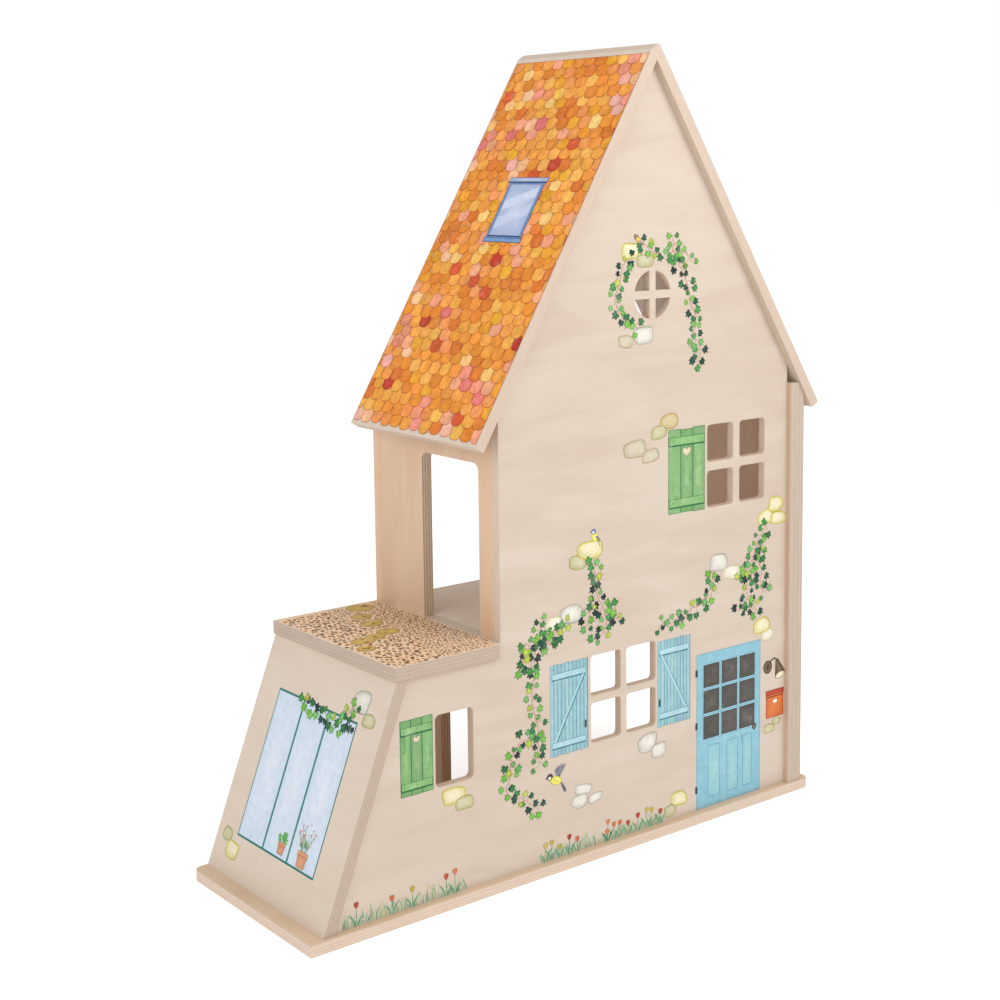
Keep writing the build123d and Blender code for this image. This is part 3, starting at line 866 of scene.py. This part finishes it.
def over_opening(a, b, margin):
    """Whether a spot on the facade is over a window or closer to it than the margin."""
    x, z = a + ART_SHIFT.x, b + ART_SHIFT.z
    middle_x, middle_z, radius = ROUND_WINDOW
    if math.hypot(x - middle_x, z - middle_z) < radius + margin:
        return True
    return any(left - margin < x < right + margin and bottom - margin < z < top + margin
               for left, bottom, right, top in FACADE_OPENINGS)


def leaf_outline(a, b, size, angle):
    half = LEAF_HALF + [(-degrees, radius) for degrees, radius in reversed(LEAF_HALF[1:])]
    return [polar(a, b, size * radius, angle + math.radians(degrees)) for degrees, radius in half]


def leaf(art, a, b, size, angle, rng):
    colour = vary(rng, pick(rng, LEAF_GREENS), 9)
    light = tuple(min(255, part * 1.12 + 12) for part in colour)
    vein = tuple(min(255, part * 1.3 + 40) for part in colour)
    level = 0.13 + rng.uniform(0, 0.06)
    art.shape(leaf_outline(a, b, size, angle), colour, times(colour, 0.62), 0.14, level, light)
    art.stroke([polar(a, b, size * -0.25, angle), polar(a, b, size * 0.72, angle)], 0.3, vein, 0.195)


def along_path(path, step):
    """Points about a step apart along a polyline, each with the direction that the line runs there."""
    found = []
    carried = 0
    for start, end in zip(path, path[1:]):
        start, end = Vector(start), Vector(end)
        run = (end - start).length
        heading = (end - start) / run
        while carried < run:
            found.append((start + heading * carried, heading))
            carried += step
        carried -= run
    return found


def vine(art, path, rng, reach=7.4, sizes=(3.6, 5.7), clear=over_opening):
    """A twig with leaves on short stalks to both sides, most of them pointing down and outwards. A leaf's
    middle is at most reach from it, and a leaf for which clear is true is left out."""
    places = along_path(path, LEAF_STEP)
    line = [spot + Vector((jitter(rng, 0.5), jitter(rng, 0.5))) for spot, _ in places]
    if len(line) > 1:
        art.stroke(line, 0.55, TWIG, 0.05)
    side = 1
    for spot, heading in places:
        side = -side
        normal = Vector((-heading.y, heading.x)) * side
        away = rng.uniform(0.2, 1) * reach
        tip = spot + normal * away + heading * rng.uniform(0.5, 3.5)
        size = rng.uniform(*sizes)
        if clear and clear(tip.x, tip.y, size * 0.9):
            continue
        art.stroke([spot, (spot + tip) / 2 + Vector((0, 0.6)), tip], 0.35, TWIG, 0.06)
        droop_a = normal.x * 0.9 + jitter(rng, 0.5)
        droop_b = normal.y * 0.5 - 0.75 + jitter(rng, 0.5)
        leaf(art, tip.x, tip.y, size, math.atan2(droop_b, droop_a), rng)


def ivy():
    rng = random.Random(3)
    wash = watercolour("leaf", 60, 0.12)
    art = Print(*FACADE)
    for path in VINES:
        vine(art, path, rng)
    art.piece("facade_ivy", wash)
    art = Print(*PANEL)
    for path in GARLAND:
        vine(art, path, rng, 6.6, (4.2, 6.4), None)
    art.piece("sunroom_ivy", wash)


# ---- grass, flowers and birds

GROUND_LINE = 11.2
GRASS_STRIPS = [(-164, -40), (40, 181)]
GRASS_GREENS = [
    ((112, 156, 126), 7), ((80, 130, 106), 3), ((138, 170, 142), 8), ((162, 184, 140), 6),
    ((106, 154, 106), 4), ((178, 188, 164), 5), ((190, 176, 126), 2),
]
RED, ORANGE, MUSTARD = (176, 62, 52), (200, 112, 72), (190, 170, 72)
# Middle across, top and petal colour.
TULIPS = [
    (-150, 31, RED), (-116, 27, ORANGE), (-62, 30, RED), (-53, 32, ORANGE), (-96, 29, MUSTARD),
    (44, 28, MUSTARD), (51, 29, MUSTARD), (60, 23, MUSTARD), (71, 29, RED), (80, 25, ORANGE),
    (116, 31, ORANGE), (123, 27, ORANGE), (130, 27, ORANGE), (115, 22, ORANGE), (140, 24, RED),
    (152, 28, RED), (163, 30, MUSTARD), (169, 29, MUSTARD), (180, 25, RED),
]


def blade(art, a, height, lean, colour, width, level):
    shares = (0, 0.35, 0.7, 1)
    path = [(a + lean * share ** 2 * height, GROUND_LINE + height * share) for share in shares]
    art.stroke(path, width, colour, level, 0.25)


def tulip(art, a, b, colour, rng):
    """Three petals on a stem that is a little bent."""
    stem = [(a + jitter(rng, 1.5), GROUND_LINE), (a, (GROUND_LINE + b) / 2), (a, b)]
    art.stroke(stem, 0.7, (86, 148, 108), 0.125)
    dark = times(colour, 0.72)
    for lean in (-0.42, 0.42, 0):
        angle = math.pi / 2 - lean
        middle = (a + 1.9 * math.cos(angle), b + 2.1 * math.sin(angle))
        level = 0.15 + 0.02 * lean + 0.03 * (lean == 0)
        art.shape(oval(*middle, 2.8, 1.35, 14, angle), vary(rng, colour, 14), dark, 0.25, level)


def grass_and_flowers():
    rng = random.Random(14)
    art = Print(*FACADE)
    for start, end in GRASS_STRIPS:
        a = start
        while a < end:
            swell = 0.65 + 0.35 * noise.noise(Vector((a / 16, 0, 2)))
            blade(art, a, rng.uniform(4, 15) * (swell + 0.3), jitter(rng, 0.55),
                  vary(rng, pick(rng, GRASS_GREENS), 9), rng.uniform(0.5, 1.1), rng.uniform(0.03, 0.1))
            a += rng.uniform(0.5, 1.5)
    for a, b, colour in TULIPS:
        tulip(art, a, b - 4, colour, rng)
        for side in (-1, 1):
            level = 0.11 + 0.01 * side
            blade(art, a + side * 1.4, rng.uniform(7, 12), side * 0.55, (92, 150, 116), 1.4, level)
    art.piece("grass_and_flowers", watercolour("grass", 60, 0.12))


def flying_bird(art):
    """A small songbird in flight with its head to the left."""
    slate, dark, lemon = (132, 138, 148), (48, 48, 56), (214, 206, 84)
    for index, angle in enumerate((52, 63, 75, 88, 102, 116)):
        turn = math.radians(angle)
        length = 14 - index
        middle = polar(59, 84.5, length / 2, turn)
        feather = vary(random.Random(index), slate, 16)
        art.shape(oval(*middle, length / 2, 1.05, 14, turn), feather, dark, 0.25, 0.1 + index * 0.015)
    for index, angle in enumerate((-58, -66)):
        turn = math.radians(angle)
        middle = polar(62, 79.5, 5.5, turn)
        art.shape(oval(*middle, 5.6, 1, 12, turn), (96, 100, 112), dark, 0.2, 0.11 + index * 0.01)
    art.shape(oval(56, 82.6, 6.8, 4, 20, -0.35), lemon, (140, 132, 60), 0.3, 0.19, (232, 226, 120))
    art.shape(oval(49.5, 87, 3.3, 3, 16), dark, height=0.21)
    art.shape(oval(49.2, 86.1, 1.7, 1.3, 12), (244, 240, 226), height=0.23)
    art.shape([(46.7, 87.6), (44.1, 86.6), (46.7, 86.2)], dark, height=0.22)
    art.stroke([(53.5, 84.4), (58.5, 80.4)], 0.8, dark, 0.22)


def perched_bird(art):
    dark, lemon = (58, 64, 84), (220, 206, 84)
    art.shape(oval(102.5, 292.2, 3.6, 4.6, 18, 0.5), lemon, (150, 138, 60), 0.3, 0.14, (236, 226, 120))
    art.shape(oval(100.9, 297.6, 2.6, 2.5, 14), (110, 122, 168), dark, 0.3, 0.16)
    art.shape(oval(100.4, 296.9, 1.2, 0.9, 10), (244, 240, 230), height=0.18)
    art.shape([(98.7, 297.8), (96.7, 297.2), (98.7, 296.7)], dark, height=0.17)
    art.shape(oval(105.8, 290.6, 3.7, 1.4, 12, -0.9), (118, 132, 124), dark, 0.25, 0.17)
    art.stroke([(105.5, 288.6), (108.5, 283.8)], 1.1, dark, 0.15)


def gable_bird(art):
    """A small brown bird on the stone left of the round window, with its tail to the right."""
    ochre, dark = (196, 160, 66), (64, 58, 52)
    art.shape(oval(153.5, 551, 3.4, 2.3, 16, -0.5), ochre, (120, 96, 48), 0.3, 0.24, (214, 186, 92))
    art.shape(oval(150.6, 553.8, 1.8, 1.7, 12), (150, 118, 62), dark, 0.25, 0.26)
    art.stroke([(155.6, 549.6), (160.6, 546.4)], 0.9, dark, 0.25)


def birds():
    art = Print(*FACADE)
    flying_bird(art)
    perched_bird(art)
    gable_bird(art)
    art.piece("birds", watercolour("bird", 60, 0.08))


# ---- sunroom window and pots

def pot(art, a, b, width, height):
    """A clay pot standing at b, with a rim."""
    half = width / 2
    foot, shoulder, shoulder_b = half * 0.72, half * 0.95, b + height * 0.76
    dark = (146, 88, 62)
    body = [(a - foot, b), (a + foot, b), (a + shoulder, shoulder_b), (a - shoulder, shoulder_b)]
    art.shape(body, (192, 132, 98), dark, 0.3, 0.16, (208, 154, 118))
    art.box(a - half, b + height * 0.74, a + half, b + height, (204, 146, 110), dark, 0.3, 0.18)


def sunroom_window():
    rng = random.Random(9)
    art = Print(*PANEL)
    left, right, bottom, top = 32, 157, 35.5, 165.5
    teal, teal_light = (14, 108, 98), (90, 168, 160)
    edges = (left, 74.5, 114, right)
    art.box(left, bottom, right, top, teal, height=0.05)
    for a0, a1 in zip(edges, edges[1:]):
        art.box(a0 + 1.3, bottom + 1.8, a1 - 1.3, top - 1.8, (194, 208, 224), height=0.07,
                middle=(210, 217, 228))
        for _ in range(16):
            a, b = rng.uniform(a0 + 3, a1 - 9), rng.uniform(bottom + 20, top - 14)
            curl = [(a + 1.6 * k, b - 1.9 * k + 0.8 * math.sin(k * 1.9 + a)) for k in range(5)]
            art.stroke(curl, 0.3, rng.choice(((184, 194, 216), (174, 200, 212), (200, 194, 216))), 0.085)
    art.stroke([(left + 0.9, bottom + 1), (left + 0.9, top - 1)], 0.4, teal_light, 0.09, 1)
    for a in edges[1:3]:
        art.stroke([(a, bottom + 1), (a, top - 1)], 0.35, teal_light, 0.09, 1)
    art.piece("sunroom_window", watercolour("glass", 40, 0.09))


def flower_pots():
    rng = random.Random(17)
    art = Print(*PANEL)
    for _ in range(40):
        angle = rng.uniform(0.1, math.pi - 0.1)
        reach = rng.uniform(3, 9.5)
        tip = (101 + reach * math.cos(angle) * 0.9, 49 + reach * math.sin(angle) * 0.9)
        green = vary(rng, (92, 160, 74), 22)
        art.shape(oval(*tip, 2, 0.8, 10, angle), green, height=0.12 + rng.uniform(0, 0.03))
    pot(art, 101, 39.5, 11.5, 10)
    for _ in range(34):
        spread = jitter(rng, 1)
        high = rng.uniform(8, 25) * (1 - 0.2 * abs(spread))
        head = (134 + spread * 13, 51 + high)
        stem = [(134 + spread * 4, 51), (134 + spread * 9, 51 + high * 0.6), head]
        art.stroke(stem, 0.35, (136, 166, 130), 0.1)
        tone = rng.choice(((196, 104, 112), (160, 94, 104), (214, 150, 150), (146, 160, 150)))
        art.shape(oval(*head, 0.75, 0.75, 8), tone, height=0.13)
    for _ in range(18):
        angle = rng.uniform(0.3, math.pi - 0.3)
        tip = polar(134, 51, 7, angle)
        art.shape(oval(*tip, 3.4, 0.8, 10, angle), vary(rng, (150, 184, 150), 16), height=0.12)
    pot(art, 134, 38, 15.5, 13.5)
    art.piece("flower_pots", watercolour("pot", 60, 0.1))


# ---- terrace

# Middle across and up, then the two half widths.
STEPPING_STONES = [
    (-27, 175, 14, 12), (-43, 149, 10, 9), (-49, 123, 11, 10), (-52, 92, 10.5, 9.5),
    (-70, 84.5, 10, 8.5), (-85, 80, 11, 9.5), (-95, 59, 8.5, 8),
]
TERRACE_EDGE = [(-107, -2.2), (-5.6, -2.2), (-5.6, 9.4), (-1.2, 9.4), (-1.2, 188.4), (-107, 188.4)]
# The gravel starts at the left and front and keeps clear of the notch for the facade. It is coarser to
# the left of COARSE_EDGE.
GRAVEL_LEFT, GRAVEL_FRONT, GRAVEL_RIGHT = -104.6, 0.4, -2.8
GRAVEL_WIDTH, GRAVEL_DEPTH = 104, 187
NOTCH_LEFT, NOTCH_BACK = -7.5, 11.5
STONE_MARGIN = 1.5
COARSE_EDGE = -58
GRAVEL = [
    ((96, 48, 24), 9), ((126, 70, 36), 8), ((156, 98, 52), 5), ((62, 34, 22), 7), ((184, 124, 68), 3),
    ((112, 98, 74), 2), ((146, 60, 40), 2),
]


def on_stone(a, b):
    return any(math.hypot((a - x) / (half_a + STONE_MARGIN), (b - y) / (half_b + STONE_MARGIN)) < 1
               for x, y, half_a, half_b in STEPPING_STONES)


def scatter(step, rng):
    """Places over the terrace on a loose grid, with every second row half a step along, each with whether
    it is in the coarse part."""
    for row in range(int(GRAVEL_DEPTH / step)):
        for column in range(int(GRAVEL_WIDTH / step)):
            a = GRAVEL_LEFT + (column + 0.5 * (row % 2)) * step + jitter(rng, 0.3) * step
            b = GRAVEL_FRONT + row * step + jitter(rng, 0.3) * step
            in_notch = a > NOTCH_LEFT and b < NOTCH_BACK
            if a < GRAVEL_RIGHT and not in_notch and not on_stone(a, b):
                yield a, b, a < COARSE_EDGE + 12 * noise.noise(Vector((b / 30, 0, 5)))


def terrace():
    rng = random.Random(30)
    art = Print(*TERRACE)
    art.shape(TERRACE_EDGE, (230, 198, 162), height=0.03)
    for step, coarse, small, large in ((3.2, False, 0.7, 1.35), (4.6, True, 1, 2.1)):
        for a, b, in_coarse_part in scatter(step, rng):
            if in_coarse_part != coarse:
                continue
            size = rng.uniform(small, large)
            width = size * rng.uniform(0.8, 1.1)
            outline = oval(a, b, size, width, 12, rng.uniform(0, math.pi), 0.06, rng)
            art.shape(outline, vary(rng, pick(rng, GRAVEL), 10), height=rng.uniform(0.04, 0.09))
    art.piece("terrace_gravel", watercolour("gravel", 60, 0.08))
    slabs = Print(*TERRACE)
    for index, (a, b, wide, high) in enumerate(STEPPING_STONES):
        outline = oval(a, b, wide, high, 26, jitter(rng, 0.3), 0.03, rng)
        level = 0.1 + 0.03 * index
        slabs.shape(outline, (190, 156, 74), (122, 88, 40), 0.5, level, (210, 178, 98))
        for _ in range(5):
            x, y = a + jitter(rng, 0.5) * wide, b + jitter(rng, 0.5) * high
            tone = rng.choice(((164, 128, 50), (206, 174, 92)))
            slabs.shape(oval(x, y, 2.2, 1.4, 10, 0, 0.2, rng), tone, height=level + 0.01)
    slabs.piece("stepping_stones", watercolour("slab", 80, 0.14))


for draw in (roof_tiles, skylight, shutters, door, lamp, letterbox, stones, ivy, grass_and_flowers, birds,
             sunroom_window, flower_pots, terrace):
    draw()


# ---- camera, floor and light

# In degrees: azimuth from the front, negative towards the annex, and roll about the line of sight.
CAMERA_AZIMUTH = -39.6533
CAMERA_ELEVATION = 7.1023
CAMERA_ROLL = -0.3756
CAMERA_PLACE = (-0.923624, -1.193992, 0.610212)

WHITE = (1, 1, 1, 1)
LAMP_TINT = (1, 0.985, 0.96)
WORLD_AS_LIGHT = 0.8
WORLD_AS_SEEN = 1
FLOOR_GLOW = 0.32


def make_camera():
    """The photograph's viewing angle."""
    data = bpy.data.cameras.new("camera")
    data.lens = 60.58
    data.sensor_width = 36
    data.shift_x = -0.0756
    data.shift_y = -0.12
    data.clip_end = 50
    camera = bpy.data.objects.new("camera", data)
    bpy.context.scene.collection.objects.link(camera)
    angles = (math.radians(90 - CAMERA_ELEVATION), 0, math.radians(CAMERA_AZIMUTH))
    turn = Euler(angles).to_matrix() @ Matrix.Rotation(math.radians(CAMERA_ROLL), 3, "Z")
    camera.matrix_world = Matrix.Translation(CAMERA_PLACE) @ turn.to_4x4()
    bpy.context.scene.camera = camera


def make_floor():
    shader = Shader("floor_paint")
    speckle = shader.noise(shader.place, 60)
    colour = shader.mix(speckle, (0.95, 0.95, 0.95), (0.97, 0.97, 0.97))
    material = shader.finish(colour, shader.band(speckle, 0, 1, 0.7, 0.8), speckle, 0.00005, 0.2)
    shader.surface.inputs["Emission Color"].default_value = WHITE
    shader.surface.inputs["Emission Strength"].default_value = FLOOR_GLOW
    bpy.ops.mesh.primitive_plane_add(size=40, location=(0, 0, 0))
    floor = bpy.context.object
    floor.name = "floor"
    floor.data.materials.append(material)
    floor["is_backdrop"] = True


def area_light(name, position, target, size, power):
    data = bpy.data.lights.new(name, "AREA")
    data.shape = "DISK"
    data.size = size
    data.energy = power
    data.color = LAMP_TINT
    light = bpy.data.objects.new(name, data)
    bpy.context.scene.collection.objects.link(light)
    light.location = position
    light.rotation_mode = "QUATERNION"
    light.rotation_quaternion = (Vector(target) - Vector(position)).to_track_quat("-Z", "Y")


def make_light():
    """A white world that lights the house a little less than it shows behind it, and two lamps."""
    world = bpy.data.worlds.new("studio")
    world.use_nodes = True
    tree = world.node_tree
    background = tree.nodes["Background"]
    background.inputs["Color"].default_value = WHITE
    seen = tree.nodes.new("ShaderNodeLightPath")
    strength = tree.nodes.new("ShaderNodeMapRange")
    strength.inputs["To Min"].default_value = WORLD_AS_LIGHT
    strength.inputs["To Max"].default_value = WORLD_AS_SEEN
    tree.links.new(seen.outputs["Is Camera Ray"], strength.inputs["Value"])
    tree.links.new(strength.outputs["Result"], background.inputs["Strength"])
    bpy.context.scene.world = world
    area_light("key", (0.25, -0.95, 1.25), (0.1, 0, 0.5), 0.8, 7.8)
    area_light("side", (-1.7, -0.5, 0.9), (0, 0, 0.3), 1.2, 6)
    bpy.context.scene.view_settings.view_transform = "Standard"


make_camera()
make_floor()
make_light()

sizes = [list(corner) for box in (cad_box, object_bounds()) for corner in box]
